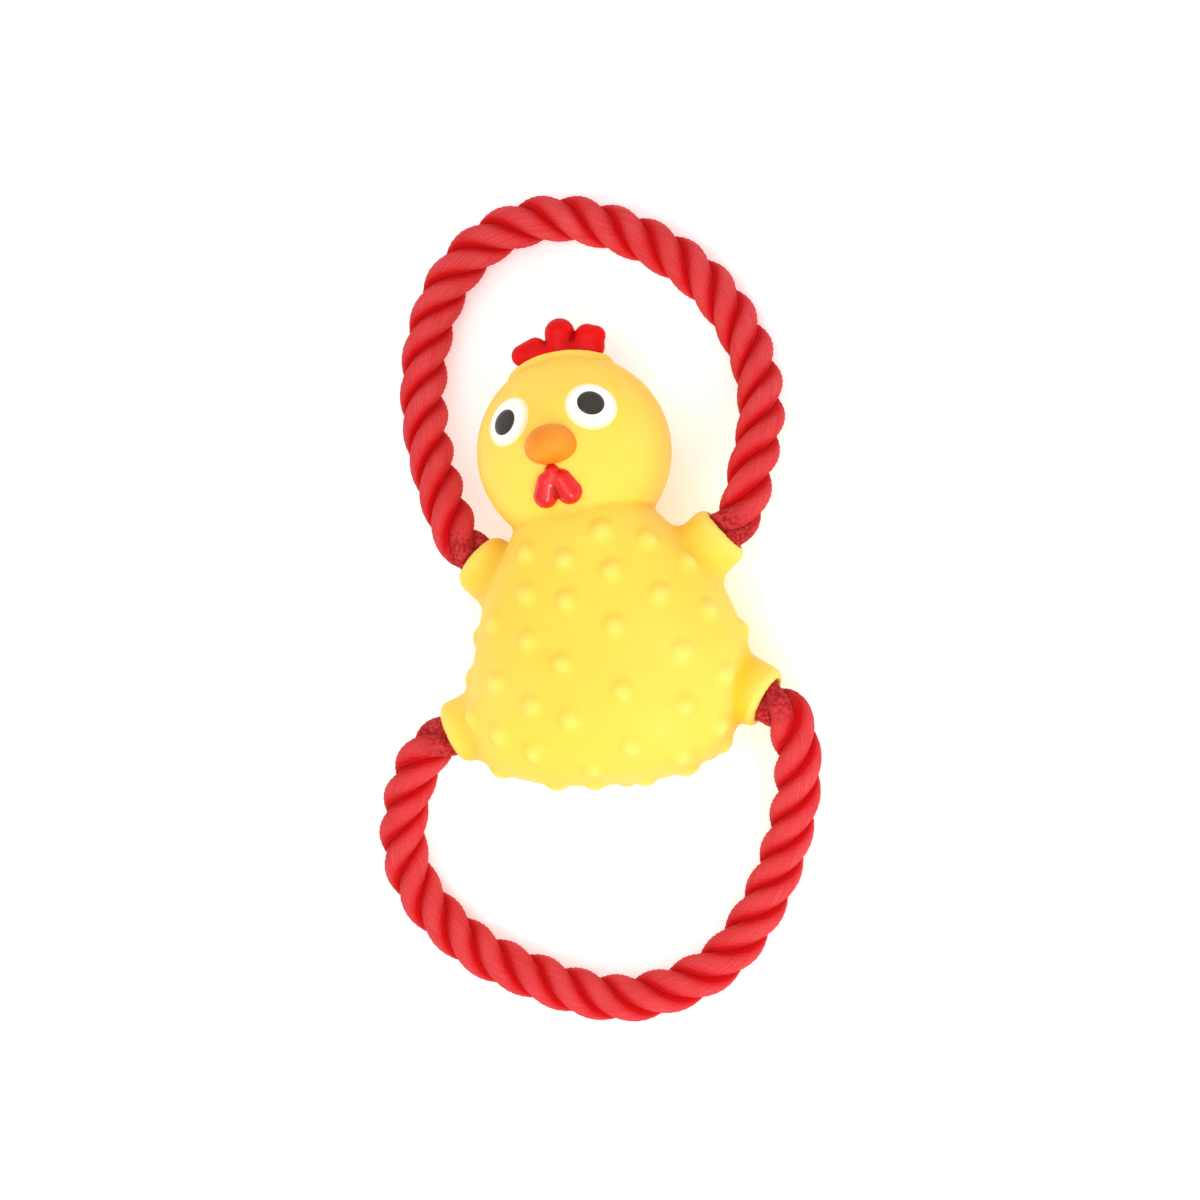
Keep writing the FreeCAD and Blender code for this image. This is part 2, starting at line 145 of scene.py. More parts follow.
# Head, in its own axes (across, up, out).
HEAD_R = 0.0332
HEAD_CENTRE = np.array([-0.0076, 0.0718, 0.0335])
HEAD_TILT = math.radians(6.0)
NECK_BLEND = 0.0024
LIP_HALF = (0.0169, 0.0079)
LIP_OUT = 0.0006                    # the lip's round edge, above the head
LIP_R = 0.0012
LIP_BLEND = 0.0022
COMB_LOBES = [                      # low end (across, up, radius), high end (across, up, radius)
    ((-9, 34.5, 4.2), (13, 34, 3.8)), ((-12, 36.1, 3.9), (-7.2, 37.4, 4.1)),
    ((1, 34, 4.6), (2.1, 41.1, 5.2)), ((8.5, 34, 3.8), (11.3, 38.2, 4.3)),
    ((12, 33.5, 3.4), (14.4, 37.8, 3.4)),
]
COMB_BLEND = 0.0011
BEAK_LATITUDE = math.radians(-1.2)
BEAK_HALF = (0.0087, 0.0067, 0.0100)
BEAK_POWER = 2.15
BEAK_TAPER = 14.0                   # how fast the beak widens downward, per metre
WATTLE_LATITUDE = math.radians(-24.9)
WATTLE_LOBES = [                    # high end (across, up, radius), low end (across, up, radius)
    ((-1.4, 4.7, 2.6), (-1.2, 2, 3)), ((-3.9, 1.1, 3.7), (-5.7, -3.4, 4.2)),
    ((1.1, 1.2, 3.7), (2.6, -3.5, 4.4)),
]
WATTLE_BLEND = 0.0010
EYE_LONGITUDE = math.radians(28.6)
EYE_LATITUDE = math.radians(17.9)
WHITE_HALF = (0.0102, 0.0099)
PUPIL_HALF = (0.0055, 0.0053)
WHITE_MIDDLE = {"left": (0, 0.0010), "right": (0, 0.0002)}      # across and up from the eye's place
PUPIL_MIDDLE = {"left": (-0.0006, 0.0004), "right": (-0.0002, 0.0008)}
WHITE_LIFT = 0.0006
PUPIL_LIFT = 0.0010
PAINT_SINK = 0.0004
PAINT_FLATNESS = 8                  # the higher, the nearer its edge the paint turns down

# Head details: the middle of the box each one is made in, in the head's own axes, and half its side.
COMB_ROOM = ((0.003, 0.038, 0.0), 0.020)
BEAK_ROOM = ((0.0, 0.0, HEAD_R + 0.003), 0.012)
WATTLE_REACH = 0.012

# Squeaker bellows: a folded tube, which on the real toy flattens when the end cap is pressed.
BELLOWS_Z = (0.0060, 0.0152)
BELLOWS_R = (0.0106, 0.0130)
BELLOWS_WALL = 0.0007
BELLOWS_FOLDS = 3

# Meshes
SKIN_BOX = ((-0.063, -0.047, -0.001), (0.057, 0.112, 0.070))
SKIN_CELL = 0.0009
DETAIL_CELL = 0.00045
FULL_BEND = 0.09                    # bend over one cell that counts as a full crease or edge

# Light: each lamp is its place, its size across and its power in watts.
KEY_LIGHT = ((0.55, -0.95, 0.95), 0.6, 7.2)
FILL_LIGHT = ((-0.1, -0.2, 1.6), 1.4, 7.0)
WORLD_LIGHT = 0.85
FLOOR_GLOW = 0.29                   # a light table: it lifts the shadows under the toy
FLOOR_HALF = 2.0


# Camera ----------------------------------------------------------------------

def place_camera():
    side, tail, roll = CAMERA_SIDE, CAMERA_TAIL, CAMERA_ROLL
    right = Vector((math.cos(side), 0, -math.sin(side)))
    up = Vector((math.sin(side) * math.sin(tail), math.cos(tail), math.cos(side) * math.sin(tail)))
    back = right.cross(up)
    rolled_right = right * math.cos(roll) - up * math.sin(roll)
    rolled_up = right * math.sin(roll) + up * math.cos(roll)
    aim = Vector((0, 0, AIM[2])) + right * AIM[0] + up * AIM[1]
    data = bpy.data.cameras.new("camera")
    data.sensor_width = SENSOR_WIDTH
    data.lens = SENSOR_WIDTH * CAMERA_DISTANCE / VIEW_WIDTH
    camera = bpy.data.objects.new("camera", data)
    axes = Matrix((rolled_right, rolled_up, back)).transposed()
    camera.matrix_world = Matrix.Translation(aim + back * CAMERA_DISTANCE) @ axes.to_4x4()
    bpy.context.scene.collection.objects.link(camera)
    bpy.context.scene.camera = camera


place_camera()
bpy.context.scene.view_settings.view_transform = "Standard"


# Small helpers ---------------------------------------------------------------

def unit(vectors):
    return vectors / np.linalg.norm(vectors, axis=-1, keepdims=True)


def make_object(name, points, faces):
    mesh = bpy.data.meshes.new(name)
    mesh.from_pydata(np.asarray(points).tolist(), [], [list(map(int, face)) for face in faces])
    mesh.polygons.foreach_set("use_smooth", [True] * len(mesh.polygons))
    mesh.update()
    obj = bpy.data.objects.new(name, mesh)
    bpy.context.scene.collection.objects.link(obj)
    return obj


def set_attribute(obj, name, values):
    """Stores one number, or one vector, for each point of the mesh."""
    values = np.asarray(values, np.float32)
    if values.ndim == 1:
        obj.data.attributes.new(name, "FLOAT", "POINT").data.foreach_set("value", values)
    else:
        layer = obj.data.attributes.new(name, "FLOAT_VECTOR", "POINT")
        layer.data.foreach_set("vector", values.ravel())


def outward(limb):
    angle = math.radians(LIMBS[limb][2])
    return np.array([math.cos(angle), math.sin(angle), 0.0])


def pivot(limb):
    x, y, _ = LIMBS[limb]
    return np.array([x, y, SLEEVE_Z])


def mouth(limb):
    return pivot(limb) - outward(limb) * MOUTH_BACK


# Materials -------------------------------------------------------------------

def srgb(*channels):
    """A linear colour from a screen colour of 0 to 255."""
    shares = [c / 255 for c in channels]
    return tuple(s / 12.92 if s <= 0.04045 else ((s + 0.055) / 1.055) ** 2.4 for s in shares) + (1.0,)


class Paint:
    """A principled material, with short calls for the nodes that vary it."""

    def __init__(self, name, **settings):
        self.material = bpy.data.materials.new(name)
        self.material.use_nodes = True
        self.tree = self.material.node_tree
        self.shader = self.tree.nodes["Principled BSDF"]
        for socket, value in settings.items():
            self.shader.inputs[socket.replace("_", " ")].default_value = value

    def node(self, kind, **settings):
        made = self.tree.nodes.new(kind)
        for key, value in settings.items():
            setattr(made, key, value)
        return made

    def link(self, source, target):
        self.tree.links.new(source, target)

    def place(self, stretch=(1, 1, 1)):
        """Object coordinates, stretched."""
        coordinates = self.node("ShaderNodeTexCoord")
        mapping = self.node("ShaderNodeMapping")
        mapping.inputs["Scale"].default_value = stretch
        self.link(coordinates.outputs["Object"], mapping.inputs["Vector"])
        return mapping.outputs["Vector"]

    def stored(self, name, vector=False):
        """A value that the mesh stores at its points."""
        made = self.node("ShaderNodeAttribute", attribute_name=name)
        return made.outputs["Vector" if vector else "Fac"]

    def noise(self, scale, detail=3.0, roughness=0.5, where=None):
        made = self.node("ShaderNodeTexNoise")
        made.inputs["Scale"].default_value = scale
        made.inputs["Detail"].default_value = detail
        made.inputs["Roughness"].default_value = roughness
        self.link(where or self.place(), made.inputs["Vector"])
        return made.outputs["Fac"]

    def between(self, value, low, high, first=0.0, last=1.0):
        """The value from low to high, turned into first to last and held there."""
        made = self.node("ShaderNodeMapRange")
        for socket, number in zip(("From Min", "From Max", "To Min", "To Max"), (low, high, first, last)):
            made.inputs[socket].default_value = number
        self.link(value, made.inputs["Value"])
        return made.outputs["Result"]

    def mix(self, share, first, second):
        """The first colour where the share is 0, and the second where it is 1."""
        made = self.node("ShaderNodeMix", data_type="RGBA")
        for socket, colour in ((made.inputs[6], first), (made.inputs[7], second)):
            if isinstance(colour, tuple):
                socket.default_value = colour
            else:
                self.link(colour, socket)
        self.link(share, made.inputs["Factor"])
        return made.outputs[2]

    def colour(self, source):
        self.link(source, self.shader.inputs["Base Color"])

    def roughness(self, source):
        self.link(source, self.shader.inputs["Roughness"])

    def bump(self, height, distance, strength=1.0):
        """Adds a bump on top of the ones that are there."""
        made = self.node("ShaderNodeBump")
        made.inputs["Strength"].default_value = strength
        made.inputs["Distance"].default_value = distance
        self.link(height, made.inputs["Height"])
        normal = self.shader.inputs["Normal"]
        if normal.is_linked:
            self.link(normal.links[0].from_socket, made.inputs["Normal"])
        self.link(made.outputs["Normal"], normal)


def latex():
    """Cloudy, slightly translucent yellow, with painted highlights on edges and nubs and painted shade in
    creases and folds.
    """
    paint = Paint("latex_yellow", Roughness=0.5, Specular_IOR_Level=0.35, Subsurface_Weight=0.12)
    paint.shader.inputs["Subsurface Radius"].default_value = (1.0, 0.55, 0.12)
    paint.shader.inputs["Subsurface Scale"].default_value = 0.004
    cloudy = paint.between(paint.noise(22.0, 2.0), 0.38, 0.62)
    base = paint.mix(cloudy, srgb(252, 206, 70), srgb(253, 212, 84))
    specks = paint.between(paint.noise(900.0, 2.0), 0.35, 0.7, 0.0, 0.10)
    base = paint.mix(specks, base, srgb(244, 194, 44))
    bend = paint.stored("bend")
    # painted highlight: a paler, creamier yellow where the surface bulges, on edges and nubs
    base = paint.mix(paint.between(bend, -0.8, -0.1, 0.40, 0.0), base, srgb(254, 230, 122))
    # painted shade: a deeper ochre in creases and round the feet of the nubs
    base = paint.mix(paint.between(bend, 0.18, 0.85, 0.0, 0.8), base, srgb(240, 180, 8))
    # painted shade: a deep ochre in the folds where the sleeves leave the torso
    paint.colour(paint.mix(paint.stored("fold_painted_shade"), base, srgb(240, 188, 0)))
    paint.roughness(paint.between(paint.noise(160.0, 3.0), 0.3, 0.7, 0.45, 0.58))
    paint.bump(paint.noise(260.0, 3.0), 0.00012, 0.5)
    paint.bump(paint.noise(1500.0, 2.0), 0.00003, 0.5)
    return paint.material


def gloss(name, dark, light, crease_shade, roughness, specular):
    """Brushed-on enamel: a little uneven in colour and in shine, with painted shade in its creases."""
    paint = Paint(name, Roughness=roughness, Specular_IOR_Level=specular)
    streaks = paint.between(paint.noise(180.0, 3.0, where=paint.place((1, 1, 0.4))), 0.3, 0.7)
    base = paint.mix(streaks, dark, light)
    # painted shade: the crease colour where the surface bends inwards
    paint.colour(paint.mix(paint.between(paint.stored("bend"), 0.1, 0.9), base, crease_shade))
    paint.roughness(paint.between(paint.noise(420.0, 3.0), 0.3, 0.7, roughness - 0.05, roughness + 0.08))
    paint.bump(paint.noise(300.0, 2.0), 0.00015, 0.5)
    return paint.material


def eye_white():
    """Slightly worn white paint with a cream edge."""
    paint = Paint("eye_white_paint", Roughness=0.35, Coat_Weight=0.2)
    worn = paint.between(paint.noise(500.0, 3.0), 0.4, 0.75, 0.0, 0.25)
    base = paint.mix(worn, srgb(255, 251, 244), srgb(246, 232, 206))
    rim = paint.between(paint.stored("rim"), 0.72, 0.94)
    paint.colour(paint.mix(rim, base, srgb(250, 226, 140)))
    paint.bump(paint.noise(700.0, 2.0), 0.00005, 0.5)
    return paint.material


def rope_yarn():
    """Dyed cotton: fibre streaks along the yarns, painted shade in the grooves, and dark mottled glue at
    the ends.
    """
    paint = Paint("rope_yarn", Roughness=0.88, Specular_IOR_Level=0.12)
    paint.shader.inputs["Sheen Weight"].default_value = 0.17
    paint.shader.inputs["Sheen Roughness"].default_value = 0.45
    paint.shader.inputs["Sheen Tint"].default_value = srgb(255, 150, 150)
    lay = paint.stored("lay", vector=True)
    stretch = paint.node("ShaderNodeMapping")
    stretch.inputs["Scale"].default_value = (3.0, 0.6, 1.0)
    paint.link(lay, stretch.inputs["Vector"])
    streak = paint.noise(1.0, 4.0, 0.6, where=stretch.outputs["Vector"])
    base = paint.mix(paint.between(streak, 0.3, 0.7), srgb(206, 48, 52), srgb(222, 84, 86))
    patches = paint.between(paint.noise(60.0, 3.0), 0.3, 0.7, 0.0, 0.6)
    base = paint.mix(patches, base, srgb(204, 42, 48))
    # painted shade: deep red in the grooves between the strands
    base = paint.mix(paint.between(paint.stored("groove_shade"), 0.03, 0.36), base, srgb(196, 2, 8))
    speck = paint.between(paint.noise(700.0, 2.0, 0.6), 0.42, 0.62)
    glued = paint.mix(speck, srgb(160, 22, 27), srgb(198, 58, 60))
    paint.colour(paint.mix(paint.stored("glue"), base, glued))
    paint.bump(streak, 0.0003, 0.35)
    paint.bump(paint.noise(2600.0, 3.0, 0.7), 0.00012, 0.6)
    return paint.material


def plain(name, colour, shade, roughness, scale, bump, **settings):
    """A quiet material for the parts inside: two close shades, and a grain."""
    paint = Paint(name, Roughness=roughness, **settings)
    grain = paint.noise(scale, 4.0, 0.6)
    paint.colour(paint.mix(paint.between(grain, 0.3, 0.7), colour, shade))
    paint.bump(grain, bump)
    return paint.material


LATEX = latex()
ROPE = rope_yarn()
COMB_RED = gloss(
    "comb_red_enamel", srgb(214, 2, 4), srgb(232, 6, 8), srgb(150, 2, 2), roughness=0.36, specular=0.15)
WATTLE_RED = gloss(
    "wattle_red_enamel", srgb(208, 4, 4), srgb(228, 12, 10), srgb(150, 2, 2), roughness=0.22, specular=0.5)
BEAK_ORANGE = gloss(
    "beak_orange_enamel", srgb(234, 130, 16), srgb(242, 144, 26), srgb(214, 96, 8),
    roughness=0.48, specular=0.3)
PUPIL_BLACK = gloss(
    "pupil_black_enamel", srgb(38, 35, 26), srgb(54, 49, 38), srgb(38, 35, 26), roughness=0.3, specular=0.4)
EYE_WHITE = eye_white()
FIBREFILL = plain("polyester_fibrefill", srgb(240, 240, 236), srgb(214, 214, 208), 0.95, 420.0, 0.0008)
THREAD = plain("whipping_thread", srgb(222, 214, 196), srgb(190, 180, 158), 0.8, 900.0, 0.0002)
GLUE = plain("rope_glue", srgb(196, 168, 112), srgb(150, 118, 70), 0.25, 160.0, 0.0001, Coat_Weight=0.4)
PLASTIC = plain("squeaker_plastic", srgb(236, 236, 232), srgb(222, 222, 218), 0.38, 300.0, 0.00004)
INSIDE_MATERIALS = {
    FIBREFILL: ["torso_stuffing", "head_stuffing"],
    THREAD: ["arm_rope_whipping", "leg_rope_whipping"],
    GLUE: ["left_arm_glue", "right_arm_glue", "left_leg_glue", "right_leg_glue"],
    PLASTIC: ["squeaker_reed_holder", "squeaker_reed", "squeaker_end_cap"],
    LATEX: ["back_patch"],
}
for material, nodes in INSIDE_MATERIALS.items():
    for name in nodes:
        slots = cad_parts[name].data.materials
        slots.clear()
        slots.append(material)


# Ropes -----------------------------------------------------------------------

def smooth_line(points):
    """Points along the NURBS spline that has these control points."""
    curve = bpy.data.curves.new("route", "CURVE")
    curve.dimensions = "3D"
    curve.resolution_u = 24
    spline = curve.splines.new("NURBS")
    spline.points.add(len(points) - 1)
    for control, point in zip(spline.points, points):
        control.co = (*point, 1)
    spline.order_u = 3
    spline.use_endpoint_u = True
    obj = bpy.data.objects.new("route", curve)
    bpy.context.scene.collection.objects.link(obj)
    mesh = bpy.data.meshes.new_from_object(obj.evaluated_get(bpy.context.evaluated_depsgraph_get()))
    line = np.array([v.co for v in mesh.vertices])
    bpy.data.objects.remove(obj)
    bpy.data.curves.remove(curve)
    bpy.data.meshes.remove(mesh)
    along = np.concatenate([[0], np.cumsum(np.linalg.norm(np.diff(line, axis=0), axis=1))])
    even = np.linspace(0, along[-1], max(2, round(along[-1] / ROPE_STEP)))
    return np.stack([np.interp(even, along, line[:, k]) for k in range(3)], axis=1), even


def carried_frame(line):
    """Two axes across the line at each point, carried along it without turning."""
    tangent = unit(np.gradient(line, axis=0))
    normals = [np.cross(tangent[0], (0, 0, 1))]
    for t in tangent[1:]:
        normals.append(unit(normals[-1] - t * (t @ normals[-1])))
    normal = unit(np.array(normals))
    return normal, np.cross(tangent, normal)


def strand_rings(line, along, across, squeeze, strand, start_angle):
    """One strand's rings of points, its middle line, and the angle round the strand of each yarn."""
    normal, binormal = across
    around = np.linspace(-math.pi, math.pi, ROPE_SIDES, endpoint=False)
    turn = start_angle + 2 * math.pi * (along / LAY + strand / STRANDS)
    spoke = normal * np.cos(turn)[:, None] + binormal * np.sin(turn)[:, None]
    centre = line + spoke * (STRAND_OFFSET * squeeze)[:, None]
    side = unit(np.cross(unit(np.gradient(centre, axis=0)), spoke))
    spoke = np.cross(side, unit(np.gradient(centre, axis=0)))
    yarn = around[None, :] + YARN_TWIST * turn[:, None]
    radius = STRAND_R * squeeze[:, None] + YARN_DEPTH * np.cos(YARNS * yarn)
    outward_part = spoke[:, None] * (radius * np.cos(around))[..., None]
    side_part = side[:, None] * (radius * np.sin(around))[..., None]
    return centre[:, None] + (outward_part + side_part), centre, yarn


def twisted_rope(node, points, tuck, start_angle=0.0):
    """Strands laid along the points' spline, squeezed and glued at the mouths, tuck in from each end."""
    line, along = smooth_line(points)
    across = carried_frame(line)
    first_mouth, last_mouth = tuck, along[-1] - tuck
    to_mouth = np.minimum(np.abs(along - first_mouth), np.abs(along - last_mouth))
    free = (along > first_mouth) & (along < last_mouth)
    squeeze = 1 - MOUTH_SQUEEZE * np.where(free, np.exp(-(to_mouth / SQUEEZE_REACH) ** 2), 1.0)
    glue = np.where(free, 1 - np.clip((to_mouth - GLUE_FULL) / GLUE_FADE, 0, 1), 1.0)
    rings = np.arange(len(line) * ROPE_SIDES).reshape(len(line), ROPE_SIDES)
    verts, faces, lay, groove_shade, glued = [], [], [], [], []
    for strand in range(STRANDS):
        ring, centre, yarn = strand_rings(line, along, across, squeeze, strand, start_angle)
        index = len(verts) + rings
        after = np.roll(index, -1, axis=1)
        verts.extend(ring.reshape(-1, 3))
        faces.extend(np.stack([index[:-1], after[:-1], after[1:], index[1:]], axis=-1).reshape(-1, 4))
        yarn_number = YARNS * yarn / (2 * math.pi)
        radii_along = np.broadcast_to((along / ROPE_R)[:, None], yarn.shape)
        own_pattern = np.full(yarn.shape, STRAND_SHIFT * strand)
        lay.extend(np.stack([yarn_number, radii_along, own_pattern], axis=-1).reshape(-1, 3))
        from_axis = np.linalg.norm(ring - line[:, None], axis=-1) / squeeze[:, None]
        # how far into a groove each point lies, for the painted groove shade
        groove_shade.extend((1 - (from_axis - GROOVE_FLOOR) / (ROPE_R - GROOVE_FLOOR)).clip(0, 1).ravel())
        glued.extend(np.repeat(glue, ROPE_SIDES))
        for end, ring_index in ((centre[0], index[0][::-1]), (centre[-1], index[-1])):
            verts.append(end)
            lay.append((0, 0, 0))
            groove_shade.append(0.5)
            glued.append(1.0)
            faces.extend((a, b, len(verts) - 1) for a, b in zip(ring_index, np.roll(ring_index, -1)))
    rope = make_object(node + "_strands", verts, faces)
    set_attribute(rope, "lay", lay)
    set_attribute(rope, "groove_shade", groove_shade)
    set_attribute(rope, "glue", glued)
    rope.data.materials.append(ROPE)
    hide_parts(node)
    return rope, line


def rope_loop(name, first, route, last):
    """A loop from one sleeve to another, which starts and ends a little inside them."""
    tucked = [mouth(limb) - outward(limb) * TUCK for limb in (first, last)]
    points = [tucked[0], mouth(first), pivot(first)]
    points += [np.array(point) * MM for point in route]
    points += [pivot(last), mouth(last), tucked[1]]
    rope, line = twisted_rope(name, points, TUCK, LOOP_START[name])
    return rope


def rope_inside(name, ends, reach):
    """The run inside the toy, from one sleeve to the other."""
    tucked = [mouth(limb) - outward(limb) * (TUCK + TUCK_GAP) for limb in ends]
    corners = [mouth(limb) - outward(limb) * run for limb, run in zip(ends, reach)]
    rope, _ = twisted_rope(name, [tucked[0], *corners, tucked[1]], NO_MOUTH)
    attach(rope, "torso")


upper = rope_loop("upper_rope_loop", "right_arm", UPPER_ROUTE, "left_arm")
lower = rope_loop("lower_rope_loop", "left_leg", LOWER_ROUTE, "right_leg")
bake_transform(upper)
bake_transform(lower)
rope_inside("arm_rope_inner", ("left_arm", "right_arm"), ARM_REACH)
rope_inside("leg_rope_inner", ("left_leg", "right_leg"), LEG_REACH)


# Moulded forms ---------------------------------------------------------------
# Each form is a function of points that is below zero inside it and close to the distance near its surface.

HEAD_TURN = np.array([
    [math.cos(HEAD_TILT), -math.sin(HEAD_TILT), 0],
    [math.sin(HEAD_TILT), math.cos(HEAD_TILT), 0],
    [0, 0, 1],
])


def head_axes(points):
    """Row-frame points in the head's own axes (across, up, out)."""
    return (points - HEAD_CENTRE) @ HEAD_TURN


def face_turn(longitude, latitude):
    """The axes of a place on the head: columns across, up and out."""
    about_up = np.array(Matrix.Rotation(longitude, 3, "Y"))
    about_across = np.array(Matrix.Rotation(-latitude, 3, "X"))
    return about_up @ about_across


def soft_min(first, second, reach):
    """Joins two forms, with a fillet that begins within reach of both."""
    share = np.clip(0.5 + 0.5 * (second - first) / reach, 0, 1)
    return second + (first - second) * share - reach * share * (1 - share)


def soft_max(first, second, reach):
    return -soft_min(-first, -second, reach)


def through(knots, values, at):
    """A smooth curve through the knots, straight beyond its ends."""
    slopes = np.gradient(values, knots)
    i = np.clip(np.searchsorted(knots, at) - 1, 0, len(knots) - 2)
    step = knots[i + 1] - knots[i]
    share = (at - knots[i]) / step
    t = np.clip(share, 0, 1)
    curve = ((1 + 2 * t) * (1 - t) ** 2 * values[i] + t * (1 - t) ** 2 * step * slopes[i]
             + t ** 2 * (3 - 2 * t) * values[i + 1] + t ** 2 * (t - 1) * step * slopes[i + 1])
    before = np.where(share < 0, share * step * slopes[0], 0)
    beyond = np.where(share > 1, (share - 1) * step * slopes[-1], 0)
    return curve + before + beyond


TORSO_Y, TORSO_X, TORSO_WIDE, TORSO_Z, TORSO_DEEP = np.array(TORSO).T * MM
FINE_Y = np.linspace(-0.055, 0.075, 400)
FINE_X = through(TORSO_Y, TORSO_X, FINE_Y)
FINE_Z = through(TORSO_Y, TORSO_Z, FINE_Y)
FINE_AREA = through(TORSO_Y, TORSO_WIDE ** 2, FINE_Y)
FINE_SHAPE = through(TORSO_Y, (TORSO_WIDE / TORSO_DEEP) ** 2, FINE_Y).clip(*SHAPE_RANGE)
FINE_SLOPE = np.gradient(FINE_AREA, FINE_Y)


def torso(points):
    """The body without its nubs and sleeves: level ovals joined smoothly along Y."""
    x, y, z = points[:, 0], points[:, 1], points[:, 2]
    across = x - np.interp(y, FINE_Y, FINE_X)
    out = z - np.interp(y, FINE_Y, FINE_Z)
    shape = np.interp(y, FINE_Y, FINE_SHAPE)
    value = across ** 2 + shape * out ** 2 - np.interp(y, FINE_Y, FINE_AREA)
    slope = np.sqrt(4 * across ** 2 + 4 * (shape * out) ** 2 + np.interp(y, FINE_Y, FINE_SLOPE) ** 2)
    return value / np.maximum(slope, 0.01)


def gradient(field, points):
    """The slope of a field at each point."""
    nudge = 2e-5
    value = field(points)
    return np.stack([(field(points + step) - value) / nudge for step in np.eye(3) * nudge], axis=1), value


def settle(field, points, times=4):
    """Moves points straight onto the field's surface."""
    for _ in range(times):
        slope, value = gradient(field, points)
        points = points - slope * (value / np.maximum((slope ** 2).sum(axis=1), 0.05))[:, None]
    return points


def nub_centres():
    near = np.array(NUBS) * MM
    foot = settle(torso, near)
    normal = unit(gradient(torso, foot)[0])
    return foot - normal * NUB_SINK


NUB_CENTRES = nub_centres()


def along_sleeve(limb, points):
    """Distance out past the sleeve's mouth, and distance from its axis."""
    offset = points - mouth(limb)
    past = offset @ outward(limb)
    return past, np.linalg.norm(offset - past[:, None] * outward(limb), axis=1)


def sleeve(limb, points):
    """A solid rod with a rounded end at the sleeve's mouth."""
    past, radius = along_sleeve(limb, points)
    outer = SLEEVE_R + SLEEVE_TAPER * np.clip(-past / SLEEVE_LENGTH, 0, 1)
    edge = SLEEVE_ROUND[limb]
    beside = radius - (outer - edge)
    beyond = np.abs(past + SLEEVE_LENGTH / 2) - (SLEEVE_LENGTH / 2 - edge)
    corner = np.hypot(np.maximum(beside, 0), np.maximum(beyond, 0))
    return corner + np.minimum(np.maximum(beside, beyond), 0) - edge


def bore(limb, points):
    past, radius = along_sleeve(limb, points)
    return np.maximum(radius - BORE_R, np.abs(past) - BORE_DEPTH)


def comb_lip(points):
    """A round ridge on the head, along an oval round the comb's root."""
    across, up, out = head_axes(points).T
    oval = np.hypot(across / LIP_HALF[0], out / LIP_HALF[1])
    steepness = np.hypot(across / LIP_HALF[0] ** 2, out / LIP_HALF[1] ** 2) / np.maximum(oval, 1e-6)
    beside = (oval - 1) / np.maximum(steepness, 20.0)
    above = np.linalg.norm(points - HEAD_CENTRE, axis=1) - HEAD_R - LIP_OUT
    return np.where(up > 0, np.hypot(beside, above) - LIP_R, 0.05)


def skin(points):
    """The whole moulding: torso, head, lip, nubs and sleeves, with the sleeves bored out."""
    value = soft_min(torso(points), np.linalg.norm(points - HEAD_CENTRE, axis=1) - HEAD_R, NECK_BLEND)
    value = soft_min(value, comb_lip(points), LIP_BLEND)
    for centre in NUB_CENTRES:
        near = np.flatnonzero(np.abs(points - centre).max(axis=1) < NUB_REACH * NUB_R)
        nub = np.linalg.norm(points[near] - centre, axis=1) - NUB_R
        value[near] = soft_min(value[near], nub, NUB_BLEND)
    for limb in LIMBS:
        value = soft_min(value, sleeve(limb, points), SLEEVE_BLEND[limb])
    for limb in LIMBS:
        value = soft_max(value, -bore(limb, points), BORE_BLEND)
    return value


def fold_shade(points):
    """How strong the painted shade is in the folds where the sleeves leave the torso."""
    shade = np.zeros(len(points))
    for limb, depth in FOLD_SHADE.items():
        gap = np.abs(torso(points)) + np.abs(sleeve(limb, points))
        shade += depth * np.exp(-(gap / FOLD_REACH) ** 2)
    return shade


def capsule(points, first, last):
    """A tapered rod between two balls, each (x, y, radius) in the plane z = 0."""
    start, end = (np.array([x, y, 0.0]) * MM for x, y, _ in (first, last))
    run = end - start
    share = np.clip((points - start) @ run / (run @ run), 0, 1)
    radius = (first[2] + (last[2] - first[2]) * share) * MM
    return np.linalg.norm(points - start - share[:, None] * run, axis=1) - radius


def clear_of_head(points, value, depth=0.001):
    """Keeps only what lies outside a ball a little inside the head."""
    return np.maximum(value, HEAD_R - depth - np.linalg.norm(points - HEAD_CENTRE, axis=1))


def comb(points):
    local = head_axes(points)
    value = capsule(local, *COMB_LOBES[0])
    for lobe in COMB_LOBES[1:]:
        value = soft_min(value, capsule(local, *lobe), COMB_BLEND)
    return clear_of_head(points, value)


def beak(points):
    local = head_axes(points) @ face_turn(0, BEAK_LATITUDE) - (0, 0, HEAD_R)
    local[:, 0] /= 1 - BEAK_TAPER * local[:, 1]
    size = (np.abs(local / BEAK_HALF) ** BEAK_POWER).sum(axis=1) ** (1 / BEAK_POWER)
    return clear_of_head(points, (size - 1) * BEAK_HALF[1])


def wattle(points):
    local = head_axes(points) @ face_turn(0, WATTLE_LATITUDE) - (0, 0, HEAD_R)
    value = capsule(local, *WATTLE_LOBES[0])
    for lobe in WATTLE_LOBES[1:]:
        value = soft_min(value, capsule(local, *lobe), WATTLE_BLEND)
    return clear_of_head(points, value)


